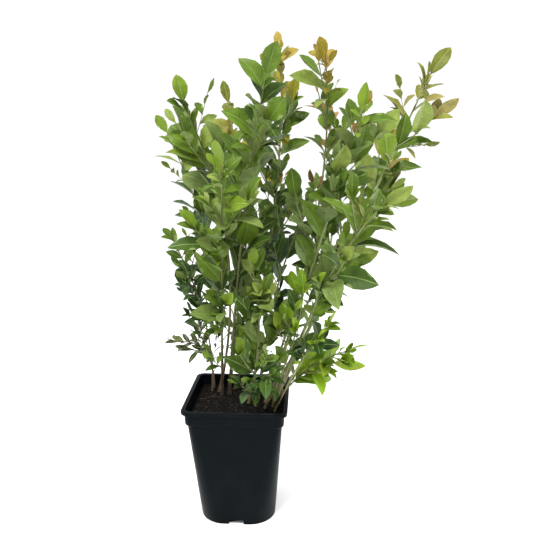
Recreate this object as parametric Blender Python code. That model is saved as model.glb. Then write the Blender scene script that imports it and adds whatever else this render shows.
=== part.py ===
"""A potted blueberry bush: a black nursery pot, its compost, the canes and their leafy sprays.

Metres, +Z up. The origin is the middle of the pot's underside, and the pot's sides face X and Y.
Each cane is a bare limb that runs on into a spray, and each spray keeps to its own space.
"""
import math
import random
from dataclasses import dataclass

import bmesh
import bpy
import numpy as np
from mathutils import Vector

# Pot
LIP_WIDTH = 0.130
POT_HEIGHT = 0.160
LIP_DEPTH = 0.0045
BAND_WIDTH = 0.1215
BAND_DEPTH = 0.021
BODY_WIDTH = 0.1165
BASE_WIDTH = 0.0968
WALL = 0.0018
LIP_CORNER = 0.009
BASE_CORNER = 0.0325
FLOOR_UNDER = 0.006
FLOOR_TOP = 0.008
FOOT_RING = 0.003
HUB_HALF = 0.014
NOTCH_WIDTH = 0.019
NOTCH_HEIGHT = 0.0055
CORNER_STEPS = 4
SHOULDER_RISE = 0.002
BAND_FLARE = 0.0008
LIP_ROUNDING = 0.001
HUB_ROUNDING = 0.8

# Compost
SOIL_LEVEL = 0.146
GAP = 0.0003
SOIL_CLEARANCE = 0.0005

# Stems
STEM_STEP = 0.020
FEWEST_STEPS = 6
FOOT_RISE = 0.003
FLARE = 0.35
FLARE_HEIGHT = 0.008
TIP_RADIUS = 0.0007
TAPER_POWER = 0.8
GOLDEN_ANGLE = math.radians(137.5)
TRIES = 6

# Side twigs: where they stand on the stem, as shares of it, and how they lean and shrink
TWIG_STEPS = 4
FIRST_TWIG = 0.3
TWIG_JITTER = 0.15
TWIGGED_SHARE = 0.78
TWIG_SIZES = (0.75, 1.1)
TWIG_SHRINK = 0.35
TWIG_THIN = 0.8
TWIG_ANGLE = math.radians(42)
TWIG_LIFT = 0.25
TWIG_TURN = 1.1
TWIG_CLEARANCE = 0.012
TWIG_BULK = 1.25

# Leaves: lengths are shares of the leaf's own length unless they are under 0.01
LEAF_SPACING = 0.30
FEWEST_LEAVES = 3
FIRST_LEAF = 0.10
FOOT_LEAF = 0.68
LEAF_SIZES = (0.85, 1.12)
LEAF_ANGLE = math.radians(52)
LEAN_SIZES = (0.75, 1.15)
END_SHARE = 0.99
END_LEAN = 0.25
ROLL_SPREAD = 0.30
LIGHT = Vector((0.0, -0.75, 0.66))
LIGHT_TURN = 0.6
LEAF_LIFT = 0.20
LEAF_TURN = 1.3
LEAF_WIDTH = 0.50
LEAF_MIDDLE = 0.46
LEAF_THICKNESS = 0.0009
THICKNESS_SHARE = 0.014
LEAF_FOLD = 0.12
LEAF_DROOP = 0.16
LEAF_SUNK = 0.0016
SPOT_SHARES = (0.12, 0.3, 0.5, 0.68, 0.84, 1.0)
ROOT_SPOTS = 7

# Colours
PLASTIC_BLACK = (0.012, 0.016, 0.017)
SOIL_BROWN = (0.018, 0.013, 0.010)
BARK_BROWN = (0.16, 0.12, 0.05)
LEAF_GREEN = (0.10, 0.22, 0.04)

# Room that twigs and leaves keep
SPACE_MARGIN = 0.0024
LIMB_MARGIN = 0.0045
CROWD = 0.004
POT_MARGIN = 0.004
POKE_ROUNDS = 6


@dataclass
class Cane:
    """One cane: a bare limb from the compost, and the spray that it carries.

    It bends from foot to top round elbow, and is bare up to the share bare of its length.
    """
    name: str
    foot: tuple
    elbow: tuple
    top: tuple
    girth: float
    bare: float
    leaf: float
    twigs: int
    twig_length: float
    seed: int


CANES = [
    Cane("left_cane", (-0.030, 0.034), (0.015, 0.043, 0.350), (-0.062, 0.000, 0.524),
         0.0022, 0.30, 0.064, 5, 0.065, 573),
    Cane("tall_front", (-0.016, 0.026), (0.007, -0.019, 0.405), (0.041, -0.070, 0.547),
         0.0024, 0.27, 0.064, 4, 0.060, 375),
    Cane("tall_middle", (-0.010, 0.042), (0.060, 0.044, 0.362), (0.051, 0.050, 0.588),
         0.0022, 0.42, 0.046, 3, 0.055, 844),
    Cane("left_low", (-0.040, 0.036), (-0.038, 0.057, 0.244), (-0.075, -0.030, 0.369),
         0.0016, 0.40, 0.034, 4, 0.055, 34),
    Cane("left_sprig", (-0.039, 0.046), (-0.043, 0.073, 0.210), (-0.089, 0.030, 0.218),
         0.0014, 0.36, 0.024, 4, 0.042, 388),
    Cane("left_back", (-0.029, 0.047), (-0.021, 0.086, 0.315), (-0.105, 0.100, 0.491),
         0.0016, 0.38, 0.048, 3, 0.060, 22),
    Cane("back_cane", (-0.018, 0.051), (0.006, 0.112, 0.351), (-0.024, 0.130, 0.531),
         0.0020, 0.40, 0.050, 3, 0.065, 439),
    Cane("left_front", (-0.025, 0.022), (-0.015, -0.033, 0.337), (0.000, -0.120, 0.455),
         0.0020, 0.32, 0.050, 4, 0.065, 452),
    Cane("top_right", (0.031, 0.026), (0.125, 0.030, 0.400), (0.104, -0.010, 0.573),
         0.0020, 0.68, 0.042, 3, 0.055, 507),
    Cane("centre_front", (0.014, -0.002), (0.042, -0.052, 0.272), (0.023, -0.075, 0.348),
         0.0020, 0.22, 0.052, 4, 0.052, 950),
    Cane("centre_low", (0.036, -0.016), (0.080, -0.050, 0.252), (0.083, -0.065, 0.317),
         0.0016, 0.30, 0.042, 4, 0.045, 210),
    Cane("centre_shoot", (0.024, 0.014), (0.041, 0.013, 0.323), (0.094, 0.020, 0.411),
         0.0018, 0.46, 0.042, 2, 0.050, 154),
    Cane("right_cane", (0.047, 0.012), (0.159, 0.024, 0.397), (0.228, 0.020, 0.556),
         0.0032, 0.38, 0.060, 4, 0.070, 730),
    Cane("right_inner", (0.036, 0.002), (0.109, -0.016, 0.383), (0.144, -0.050, 0.509),
         0.0026, 0.36, 0.060, 4, 0.070, 50),
    Cane("right_back", (0.040, 0.030), (0.160, 0.085, 0.332), (0.108, 0.120, 0.530),
         0.0022, 0.40, 0.050, 3, 0.065, 705),
    Cane("right_low", (0.046, 0.001), (0.090, -0.030, 0.219), (0.138, -0.050, 0.238),
         0.0016, 0.34, 0.042, 3, 0.040, 421),
    Cane("right_side", (0.049, -0.026), (0.072, -0.052, 0.219), (0.113, -0.085, 0.283),
         0.0014, 0.50, 0.032, 2, 0.035, 996),
    Cane("front_low", (0.024, -0.012), (0.030, -0.045, 0.193), (0.042, -0.090, 0.244),
         0.0016, 0.30, 0.030, 3, 0.040, 258),
    Cane("far_back", (0.030, 0.040), (0.120, 0.111, 0.316), (0.205, 0.140, 0.503),
         0.0022, 0.40, 0.050, 3, 0.065, 37),
    Cane("right_front", (0.046, -0.012), (0.110, -0.060, 0.358), (0.165, -0.110, 0.416),
         0.0022, 0.38, 0.050, 4, 0.065, 489),
]


def stem_points(cane):
    """The cane's middle line: straight up out of the compost, then one smooth bend to its top."""
    foot = Vector((*cane.foot, SOIL_LEVEL + GAP))
    elbow = Vector(cane.elbow)
    top = Vector(cane.top)
    length = (elbow - foot).length * 0.5 + (top - foot).length * 0.5
    count = max(FEWEST_STEPS, round(length / STEM_STEP))
    points = [foot, foot + Vector((0, 0, FOOT_RISE))]
    for step in range(1, count + 1):
        share = step / count
        points.append(foot * (1 - share) ** 2 + elbow * 2 * share * (1 - share) + top * share ** 2)
    return points


def stem_radius(cane, height, share):
    """Taper from foot to top, with a flare where the cane leaves the compost."""
    flare = 1 + FLARE * math.exp(-height / FLARE_HEIGHT)
    return (TIP_RADIUS + (cane.girth - TIP_RADIUS) * (1 - share) ** TAPER_POWER) * flare


class Growth:
    """The whole bush as middle lines and leaves, grown cane by cane."""

    def __init__(self, canes):
        self.canes = canes
        self.limbs = {}
        self.twigs = {}
        self.leaves = {}
        for cane in canes:
            self.part_stem(cane)
        for cane in canes:
            self.grow_twigs(cane)
        for cane in canes:
            self.grow_leaves(cane)

    def part_stem(self, cane):
        """Parts the stem into the bare limb and the spray's own stem, GAP apart."""
        points = stem_points(cane)
        last = len(points) - 1
        radii = [stem_radius(cane, p.z - SOIL_LEVEL, i / last) for i, p in enumerate(points)]
        split = max(2, round(last * cane.bare))
        step = points[split + 1] - points[split]
        middle = points[split] + step / 2
        radius = (radii[split] + radii[split + 1]) / 2
        half_gap = step.normalized() * (GAP / 2)
        limb = points[:split + 1] + [middle - half_gap], radii[:split + 1] + [radius]
        stem = [middle + half_gap] + points[split + 1:], [radius] + radii[split + 1:]
        self.limbs[cane.name] = limb
        self.twigs[cane.name] = [stem]

    def segments(self, lines):
        """Start points, end points and radii of every straight piece of some middle lines."""
        starts, ends, radii = [], [], []
        for points, sizes in lines:
            starts += [tuple(p) for p in points[:-1]]
            ends += [tuple(p) for p in points[1:]]
            radii += sizes[:-1]
        return np.array(starts), np.array(ends), np.array(radii)

    def others(self, name):
        """The middle lines of every other spray."""
        return self.segments([line for key, lines in self.twigs.items() if key != name for line in lines])

    def grow_twigs(self, cane):
        """Side twigs round the spray's stem, a golden angle apart, kept clear of the other sprays."""
        rng = random.Random(cane.seed)
        stem, radii = self.twigs[cane.name][0]
        turn = rng.uniform(0, math.tau)
        others = self.others(cane.name)
        limbs = self.segments(list(self.limbs.values()))
        for number in range(cane.twigs):
            place = number + FIRST_TWIG + rng.uniform(-TWIG_JITTER, TWIG_JITTER)
            share = place / cane.twigs * TWIGGED_SHARE
            length = cane.twig_length * rng.uniform(*TWIG_SIZES) * (1 - TWIG_SHRINK * share)
            for attempt in range(TRIES):
                azimuth = turn + number * GOLDEN_ANGLE + attempt * TWIG_TURN
                points = twig_points(stem, share, azimuth, length)
                reach = np.array([tuple(p) for p in points[1:]])
                clear = distances(reach, others).min() > TWIG_CLEARANCE
                if clear and distances(reach, limbs).min() > LIMB_MARGIN and clears_pot(reach):
                    start = share_radius(radii, share) * TWIG_THIN
                    sizes = [max(TIP_RADIUS, start + (TIP_RADIUS - start) * i / TWIG_STEPS)
                             for i in range(TWIG_STEPS + 1)]
                    self.twigs[cane.name].append((points, sizes))
                    break

    def grow_leaves(self, cane):
        """Leaves in turn up every twig of the spray. One that leaves its space is turned or left out."""
        rng = random.Random(cane.seed + 1000)
        own = self.segments(self.twigs[cane.name])
        others = self.others(cane.name)
        limbs = self.segments(list(self.limbs.values()))
        placed = []
        leaves = []
        for points, radii in self.twigs[cane.name]:
            turn = rng.uniform(0, math.tau)
            for number, share, size in leaf_places(points, cane.leaf):
                length = size * rng.uniform(*LEAF_SIZES)
                lean = LEAF_ANGLE * rng.uniform(*LEAN_SIZES)
                if share > END_SHARE:
                    lean = END_LEAN
                roll = rng.gauss(0, ROLL_SPREAD)
                for attempt in range(TRIES):
                    azimuth = turn + number * GOLDEN_ANGLE + attempt * LEAF_TURN
                    leaf = Leaf(points, share, azimuth, lean, length, roll)
                    spots = leaf.spots()
                    if not fits(spots, own, others, limbs):
                        continue
                    if placed and crowded(spots, placed) and attempt < TRIES - 1:
                        continue
                    placed.append(spots[ROOT_SPOTS:])
                    leaves.append(leaf)
                    break
        self.leaves[cane.name] = leaves


def share_radius(radii, share):
    """Radius a share of the way along a tapering line."""
    place = share * (len(radii) - 1)
    low = min(int(place), len(radii) - 2)
    return radii[low] + (radii[low + 1] - radii[low]) * (place - low)


def along(points, share):
    """Point and direction a share of the way along a middle line."""
    place = share * (len(points) - 1)
    low = min(int(place), len(points) - 2)
    step = points[low + 1] - points[low]
    return points[low] + step * (place - low), step.normalized()


def outward(forward, azimuth):
    """A direction square to forward, turned by azimuth about it."""
    side = forward.cross(Vector((0.31, 0.95, 0.02))).normalized()
    back = forward.cross(side)
    return side * math.cos(azimuth) + back * math.sin(azimuth)


def twig_points(stem, share, azimuth, length):
    """Middle line of a side twig, which leaves the stem at TWIG_ANGLE and lifts towards the light."""
    root, forward = along(stem, share)
    away = outward(forward, azimuth)
    heading = forward * math.cos(TWIG_ANGLE) + away * math.sin(TWIG_ANGLE)
    points = []
    for step in range(TWIG_STEPS + 1):
        part = step / TWIG_STEPS
        points.append(root + heading * length * part + Vector((0, 0, TWIG_LIFT * length * part ** 2)))
    return points


def leaf_places(points, leaf):
    """Number, place and length of the leaves up one twig: small at its foot, largest past its middle."""
    length = sum((b - a).length for a, b in zip(points, points[1:]))
    count = max(FEWEST_LEAVES, round(length / (leaf * LEAF_SPACING)))
    for number in range(count):
        share = FIRST_LEAF + (1 - FIRST_LEAF) * number / (count - 1)
        swell = math.sin(math.pi * min(1.0, FIRST_LEAF + share))
        size = leaf * (FOOT_LEAF + (1 - FOOT_LEAF) * swell)
        yield number, share, size


class Leaf:
    """A thin eight-faced blade, lifted and turned towards the light.

    It has a root, a tip, two sides, and an upper and a lower middle.
    """

    def __init__(self, points, share, azimuth, lean, length, roll):
        root, forward = along(points, share)
        away = outward(forward, azimuth)
        heading = forward * math.cos(lean) + away * math.sin(lean)
        heading = (heading + Vector((0, 0, LEAF_LIFT))).normalized()
        side = heading.cross(away if lean == END_LEAN else forward).normalized()
        face = side.cross(heading)
        roll -= LIGHT_TURN * math.atan2(LIGHT.dot(side), LIGHT.dot(face))
        self.side = side * math.cos(roll) + face * math.sin(roll)
        self.face = face * math.cos(roll) - side * math.sin(roll)
        self.length = length
        droop = Vector((0, 0, -LEAF_DROOP * length))
        self.root = root - forward * LEAF_SUNK
        self.middle = root + heading * length * LEAF_MIDDLE + droop * LEAF_MIDDLE ** 2
        self.tip = root + heading * length + droop

    def sides(self):
        """The two widest points, lifted by the fold along the midrib."""
        half = self.side * (self.length * LEAF_WIDTH / 2)
        lift = self.face * (self.length * LEAF_FOLD / 2)
        return self.middle + half + lift, self.middle - half + lift

    def corners(self):
        """Corners in order: root, tip, the two sides, then above and below the middle."""
        left, right = self.sides()
        half = self.face * (max(LEAF_THICKNESS, self.length * THICKNESS_SHARE) / 2)
        return [self.root, self.tip, left, right, self.middle + half, self.middle - half]

    def spots(self):
        """Points spread over the blade, from its root to its tip, to test its room."""
        left, right = self.sides()
        rows = []
        for share in SPOT_SHARES:
            if share <= 0.5:
                part = share / 0.5
                middle = self.root.lerp(self.middle, part)
                edges = self.root.lerp(left, part), self.root.lerp(right, part)
            else:
                part = (share - 0.5) / 0.5
                middle = self.middle.lerp(self.tip, part)
                edges = left.lerp(self.tip, part), right.lerp(self.tip, part)
            rows += [middle, edges[0], edges[1], middle.lerp(edges[0], 0.5), middle.lerp(edges[1], 0.5)]
        return np.array([tuple(p) for p in rows])


def distances(spots, lines):
    """Distance from every spot to the surface of every straight piece."""
    starts, ends, radii = lines
    along_line = ends - starts
    to_spot = spots[:, None, :] - starts[None]
    share = (to_spot * along_line).sum(2) / (along_line ** 2).sum(1)
    share = np.clip(share, 0, 1)
    nearest = to_spot - share[:, :, None] * along_line
    return np.sqrt((nearest ** 2).sum(2)) - radii


def clears_pot(spots):
    """Whether every spot stands over, well inside or well outside the pot."""
    out = np.abs(spots[:, :2]).max(1)
    above = spots[:, 2] > POT_HEIGHT + POT_MARGIN
    inside = (out < BODY_WIDTH / 2 - POT_MARGIN) & (spots[:, 2] > SOIL_LEVEL + POT_MARGIN)
    outside = (out > LIP_WIDTH / 2 + POT_MARGIN) & (spots[:, 2] > POT_HEIGHT / 2)
    return bool((above | inside | outside).all())


def fits(spots, own, others, limbs):
    """Whether a blade stays in the space nearer to its own twigs, and clear of limbs and pot."""
    if not clears_pot(spots):
        return False
    if distances(spots, limbs).min() < LIMB_MARGIN:
        return False
    room = distances(spots, others).min(1) - distances(spots, own).min(1)
    return bool(room.min() > SPACE_MARGIN)


def crowded(spots, placed):
    """Whether a blade comes closer than CROWD to another blade of its spray."""
    near = np.concatenate(placed)
    gaps = spots[ROOT_SPOTS:, None, :] - near[None]
    return bool(np.sqrt((gaps ** 2).sum(2)).min() < CROWD)


# Shapes


def clear_scene():
    for thing in list(bpy.data.objects):
        bpy.data.objects.remove(thing, do_unlink=True)


def material(name, colour, roughness, metallic=0.0):
    made = bpy.data.materials.new(name)
    made.use_nodes = True
    shader = made.node_tree.nodes["Principled BSDF"]
    shader.inputs["Base Color"].default_value = (*colour, 1)
    shader.inputs["Roughness"].default_value = roughness
    shader.inputs["Metallic"].default_value = metallic
    return made


def mesh_object(name, verts, faces, home):
    mesh = bpy.data.meshes.new(name)
    mesh.from_pydata([tuple(v) for v in verts], [], faces)
    thing = bpy.data.objects.new(name, mesh)
    home.objects.link(thing)
    return thing


def rounded_square(half, corner, height):
    """Ring of points round a square with round corners."""
    ring = []
    for quarter in range(4):
        middle = Vector((half - corner, half - corner))
        for step in range(CORNER_STEPS + 1):
            angle = math.pi / 2 * step / CORNER_STEPS
            spot = middle + Vector((math.cos(angle), math.sin(angle))) * corner
            for _ in range(quarter):
                spot = Vector((-spot.y, spot.x))
            ring.append(Vector((spot.x, spot.y, height)))
    return ring


def loft(name, rings, home):
    """Closed skin through rings of equal count, with a flat cap on the first and on the last."""
    count = len(rings[0])
    verts = [p for ring in rings for p in ring]
    faces = [list(range(count))[::-1]]
    for level in range(len(rings) - 1):
        low = level * count
        for i in range(count):
            j = (i + 1) % count
            faces.append([low + i, low + j, low + count + j, low + count + i])
    faces.append([(len(rings) - 1) * count + i for i in range(count)])
    return mesh_object(name, verts, faces, home)


def body_half(height):
    """Half width of the pot's tapering body, outside, at a height."""
    share = height / (POT_HEIGHT - BAND_DEPTH)
    return (BASE_WIDTH + (BODY_WIDTH - BASE_WIDTH) * share) / 2


def body_corner(height):
    """Corner radius of the body, which is nearly round at its foot and nearly square at its top."""
    share = height / (POT_HEIGHT - BAND_DEPTH)
    return BASE_CORNER + (LIP_CORNER - BASE_CORNER) * share


def make_pot(home, cutters):
    """The pot: a foot ring and hub under a raised floor, a tapering body, a band and a lip."""
    body_top = POT_HEIGHT - BAND_DEPTH
    shoulder = body_top + SHOULDER_RISE
    lip_under = POT_HEIGHT - LIP_DEPTH
    band = BAND_WIDTH / 2
    band_top = band + BAND_FLARE
    ring_half = BASE_WIDTH / 2 - FOOT_RING
    rings = [
        rounded_square(HUB_HALF, HUB_HALF * HUB_ROUNDING, 0),
        rounded_square(HUB_HALF, HUB_HALF * HUB_ROUNDING, FLOOR_UNDER),
        rounded_square(ring_half, BASE_CORNER - FOOT_RING, FLOOR_UNDER),
        rounded_square(ring_half, BASE_CORNER - FOOT_RING, 0),
        rounded_square(BASE_WIDTH / 2, BASE_CORNER, 0),
        rounded_square(body_half(body_top), LIP_CORNER, body_top),
        rounded_square(band, LIP_CORNER, shoulder),
        rounded_square(band_top, LIP_CORNER, lip_under),
        rounded_square(LIP_WIDTH / 2, LIP_CORNER + LIP_ROUNDING, lip_under),
        rounded_square(LIP_WIDTH / 2, LIP_CORNER + LIP_ROUNDING, POT_HEIGHT),
        rounded_square(band_top - WALL, LIP_CORNER - WALL, POT_HEIGHT),
        rounded_square(band - WALL, LIP_CORNER - WALL, shoulder + WALL),
        rounded_square(body_half(body_top) - WALL, LIP_CORNER - WALL, body_top),
        rounded_square(body_half(FLOOR_TOP) - WALL, body_corner(FLOOR_TOP) - WALL, FLOOR_TOP),
    ]
    pot = loft("pot", rings, home)
    for side in range(4):
        cut_notch(pot, side, cutters)
    return pot


def cut_notch(pot, side, cutters):
    """A drain notch through the foot ring, in the middle of one side."""
    bpy.ops.mesh.primitive_cube_add(size=1)
    cutter = bpy.context.object
    cutter.name = "notch_cutter_%d" % side
    reach = FOOT_RING * 4
    cutter.scale = (NOTCH_WIDTH, reach, NOTCH_HEIGHT * 2)
    angle = side * math.pi / 2
    out = BASE_WIDTH / 2
    cutter.location = (out * math.sin(angle), -out * math.cos(angle), 0)
    cutter.rotation_euler = (0, 0, angle)
    for home in list(cutter.users_collection):
        home.objects.unlink(cutter)
    cutters.objects.link(cutter)
    cutter.hide_render = True
    cutter.display_type = "WIRE"
    cut = pot.modifiers.new("notch_%d" % side, "BOOLEAN")
    cut.operation = "DIFFERENCE"
    cut.object = cutter


def make_compost(home):
    """The compost fills the pot to SOIL_LEVEL, a hair clear of its walls and floor."""
    body_top = POT_HEIGHT - BAND_DEPTH
    inset = WALL + SOIL_CLEARANCE
    floor = FLOOR_TOP + SOIL_CLEARANCE
    shoulder = body_top + SHOULDER_RISE + inset + SOIL_CLEARANCE
    band = BAND_WIDTH / 2
    rings = [
        rounded_square(body_half(floor) - inset, body_corner(floor) - inset, floor),
        rounded_square(body_half(body_top) - inset, LIP_CORNER - inset, body_top),
        rounded_square(band - inset, LIP_CORNER - inset, shoulder),
        rounded_square(band - inset, LIP_CORNER - inset, SOIL_LEVEL),
    ]
    return loft("compost", rings, home)


def make_limb(name, points, radii, home):
    """A bare limb: a tapering tube with flat ends."""
    curve = bpy.data.curves.new(name, "CURVE")
    curve.dimensions = "3D"
    curve.bevel_depth = 1.0
    curve.bevel_resolution = 1
    curve.use_fill_caps = True
    spline = curve.splines.new("POLY")
    spline.points.add(len(points) - 1)
    for spot, point, radius in zip(spline.points, points, radii):
        spot.co = (*point, 1)
        spot.radius = radius
    limb = bpy.data.objects.new(name, curve)
    home.objects.link(limb)
    return limb


def make_twig(name, points, radii, home):
    """A three-sided tapering twig, swept along its middle line."""
    rings = []
    side = outward((points[1] - points[0]).normalized(), 0)
    for i, (point, radius) in enumerate(zip(points, radii)):
        before = points[max(0, i - 1)]
        after = points[min(len(points) - 1, i + 1)]
        forward = (after - before).normalized()
        side = (side - forward * side.dot(forward)).normalized()
        back = forward.cross(side)
        ring = []
        for corner in range(3):
            angle = math.tau * corner / 3
            spoke = side * math.cos(angle) + back * math.sin(angle)
            ring.append(point + spoke * radius * TWIG_BULK)
        rings.append(ring)
    return loft(name, rings, home)


def make_leaf(name, leaf, home):
    """The blade's eight faces, upper ones first."""
    root, tip, left, right, above, below = range(6)
    faces = [(root, above, right), (right, above, tip), (tip, above, left), (left, above, root),
             (root, below, left), (left, below, tip), (tip, below, right), (right, below, root)]
    return mesh_object(name, leaf.corners(), faces, home)


def shared_badly(shape):
    """Numbers of the many-sided faces whose plain triangles would share an edge with too many others."""
    trial = shape.copy()
    source = trial.faces.layers.int.new("source")
    for number, face in enumerate(trial.faces):
        face[source] = number
    bmesh.ops.triangulate(trial, faces=trial.faces[:])
    bad = {face[source] for edge in trial.edges if len(edge.link_faces) != 2 for face in edge.link_faces}
    trial.free()
    return bad


def fill_and_tidy(mesh):
    """Makes triangles, drops loose scraps and fills sealed hollows, so that one outer skin is left."""
    shape = bmesh.new()
    shape.from_mesh(mesh)
    for _ in range(POKE_ROUNDS):
        faces = list(shape.faces)
        poked = [faces[number] for number in shared_badly(shape) if len(faces[number].verts) > 3]
        if not poked:
            break
        bmesh.ops.poke(shape, faces=poked)
    bmesh.ops.triangulate(shape, faces=shape.faces[:])
    seen = set()
    shells = []
    for face in shape.faces:
        if face in seen:
            continue
        shell = [face]
        seen.add(face)
        for current in shell:
            for edge in current.edges:
                for linked in edge.link_faces:
                    if linked not in seen:
                        seen.add(linked)
                        shell.append(linked)
        shells.append(shell)
    shells.sort(key=len, reverse=True)
    for shell in shells[1:]:
        bmesh.ops.delete(shape, geom=shell, context="FACES")
    loose = [v for v in shape.verts if not v.link_faces]
    bmesh.ops.delete(shape, geom=loose, context="VERTS")
    shape.to_mesh(mesh)
    shape.free()


def make_spray(name, twigs, leaves, home):
    """One leafy spray: its twigs and leaves fused into one solid."""
    pieces = bpy.data.collections.new(name + "_pieces")
    bpy.context.scene.collection.children.link(pieces)
    stem = make_twig(name, *twigs[0], home)
    for number, twig in enumerate(twigs[1:]):
        make_twig("%s_twig_%d" % (name, number), *twig, pieces)
    for number, leaf in enumerate(leaves):
        make_leaf("%s_leaf_%d" % (name, number), leaf, pieces)
    fuse = stem.modifiers.new("fuse", "BOOLEAN")
    fuse.operation = "UNION"
    fuse.operand_type = "COLLECTION"
    fuse.solver = "MANIFOLD"
    fuse.collection = pieces
    bpy.context.view_layer.update()
    fused = bpy.data.meshes.new_from_object(stem.evaluated_get(bpy.context.evaluated_depsgraph_get()))
    stem.modifiers.remove(fuse)
    stem.data = fused
    for piece in list(pieces.objects):
        bpy.data.objects.remove(piece, do_unlink=True)
    bpy.data.collections.remove(pieces)
    fill_and_tidy(fused)
    return stem


def dress(thing, finish):
    thing.data.materials.clear()
    thing.data.materials.append(finish)


def main():
    clear_scene()
    bush = bpy.data.collections.new("potted_blueberry_bush")
    cutters = bpy.data.collections.new("cutters")
    for home in (bush, cutters):
        bpy.context.scene.collection.children.link(home)
    black_plastic = material("black_plastic", PLASTIC_BLACK, 0.42)
    soil = material("compost", SOIL_BROWN, 0.95)
    bark = material("bark", BARK_BROWN, 0.65)
    foliage = material("foliage", LEAF_GREEN, 0.5)
    dress(make_pot(bush, cutters), black_plastic)
    dress(make_compost(bush), soil)
    growth = Growth(CANES)
    for cane in CANES:
        limb = make_limb(cane.name, *growth.limbs[cane.name], bush)
        dress(limb, bark)
        spray = make_spray(cane.name + "_spray", growth.twigs[cane.name], growth.leaves[cane.name], bush)
        dress(spray, foliage)


main()
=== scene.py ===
"""The looks of a potted blueberry bush: its bark, leaves, compost and moulded black pot.

Metres, +Z up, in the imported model's own frame. The bush grows here by the rule that shaped its solids,
from the same canes and seeds, and is then carried on to finer shoots and leaves within the same reach.
"""
import math
import random
from dataclasses import dataclass

import bmesh
import bpy
import numpy as np
from mathutils import Matrix, Vector, noise


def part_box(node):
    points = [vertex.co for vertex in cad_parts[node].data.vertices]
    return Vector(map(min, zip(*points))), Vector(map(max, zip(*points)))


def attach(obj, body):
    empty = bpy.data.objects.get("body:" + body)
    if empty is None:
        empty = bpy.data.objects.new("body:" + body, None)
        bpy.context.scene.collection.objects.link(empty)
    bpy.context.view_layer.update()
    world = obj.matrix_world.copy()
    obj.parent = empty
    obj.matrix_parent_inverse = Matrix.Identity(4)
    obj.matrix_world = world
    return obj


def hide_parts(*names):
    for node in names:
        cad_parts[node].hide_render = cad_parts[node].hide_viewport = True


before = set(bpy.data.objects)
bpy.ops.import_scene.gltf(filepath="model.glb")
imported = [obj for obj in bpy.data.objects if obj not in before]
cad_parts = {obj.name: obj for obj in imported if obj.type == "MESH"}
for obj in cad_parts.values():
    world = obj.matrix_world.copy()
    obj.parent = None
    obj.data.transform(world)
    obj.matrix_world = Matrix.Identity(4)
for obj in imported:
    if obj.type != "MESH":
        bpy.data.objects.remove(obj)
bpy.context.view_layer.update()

# Pot, from its solid's own box
POT_LOW, POT_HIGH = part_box("pot")
LIP_WIDTH = POT_HIGH.x - POT_LOW.x
POT_HEIGHT = POT_HIGH.z
LIP_DEPTH = 0.0045
BAND_WIDTH = 0.1215
BAND_DEPTH = 0.021
BODY_WIDTH = 0.1165
BASE_WIDTH = 0.0968
WALL = 0.0018
LIP_CORNER = 0.009
BASE_CORNER = 0.0325
FLOOR_UNDER = 0.006
FLOOR_TOP = 0.008
FOOT_RING = 0.003
HUB_HALF = 0.014
NOTCH_WIDTH = 0.019
NOTCH_HEIGHT = 0.0055
CORNER_STEPS = 12
SHOULDER_RISE = 0.002
BAND_FLARE = 0.0008
LIP_ROUNDING = 0.001
HUB_ROUNDING = 0.8
EDGE_ROUND = 0.00055
EDGE_ANGLE = math.radians(38)

# Compost
SOIL_BOTTOM, SOIL_LEVEL = (corner.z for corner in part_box("compost"))
GAP = 0.0003
SOIL_CLEARANCE = 0.0005
BED_CELLS = 110
BED_DROP = 0.0006
BED_ROUGHNESS = 0.0022
CLOD_SCALE, CLOD_DETAIL, CLOD_SHARE = 110, (0.9, 2.1, 5), 0.55
PIT_SCALE, PIT_SHARE = 420, 0.25
CRUMBS, CRUMB_SIZES = 1500, (0.0007, 0.0030)
CHIPS, CHIP_SIZES = 260, (0.0028, 0.0062)
CRUMB_SHAPE = (1, 0.8, 0.6)
CHIP_WIDTHS, CHIP_DEPTHS = (0.25, 0.5), (0.12, 0.3)
CRUMB_SEED = 41
CRUMB_MARGIN = 0.004
CRUMB_RISE = 0.06
CRUMB_TILT = 0.25
LUMPINESS = (0.75, 1.25)

# Stems
STEM_STEP = 0.020
FEWEST_STEPS = 6
FOOT_RISE = 0.003
FLARE = 0.35
FLARE_HEIGHT = 0.008
TIP_RADIUS = 0.0007
TAPER_POWER = 0.8
GOLDEN_ANGLE = math.radians(137.5)
ASKEW = (0.31, 0.95, 0.02)
TRIES = 6

# What is added to a cane's own seed for each kind of growth
LEAF_SEED, SHOOT_SEED, BLADE_SEED, LIMB_SHOOT_SEED = 1000, 2000, 3000, 4000

# Side twigs: where they stand on the stem, as shares of it, and how they lean and shrink
TWIG_STEPS = 4
FIRST_TWIG = 0.3
TWIG_JITTER = 0.15
TWIGGED_SHARE = 0.78
TWIG_SIZES = (0.75, 1.1)
TWIG_SHRINK = 0.35
TWIG_THIN = 0.8
TWIG_ANGLE = math.radians(42)
TWIG_LIFT = 0.25
TWIG_TURN = 1.1
TWIG_CLEARANCE = 0.012

# Leaves: lengths are shares of the leaf's own length unless they are under 0.01
LEAF_SPACING = 0.30
FEWEST_LEAVES = 3
FIRST_LEAF = 0.10
FOOT_LEAF = 0.68
LEAF_SIZES = (0.85, 1.12)
LEAF_ANGLE = math.radians(52)
LEAN_SIZES = (0.75, 1.15)
END_SHARE = 0.99
END_LEAN = 0.25
ROLL_SPREAD = 0.30
LIGHT = Vector((0.0, -0.75, 0.66))
LIGHT_TURN = 0.6
LEAF_LIFT = 0.20
LEAF_TURN = 1.3
LEAF_WIDTH = 0.50
LEAF_MIDDLE = 0.46
LEAF_FOLD = 0.12
LEAF_DROOP = 0.16
LEAF_SUNK = 0.0016
SPOT_SHARES = (0.12, 0.3, 0.5, 0.68, 0.84, 1.0)
ROOT_SPOTS = 7

# Room that twigs and leaves keep
SPACE_MARGIN = 0.0024
LIMB_MARGIN = 0.0045
CROWD = 0.004
POT_MARGIN = 0.004

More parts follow.
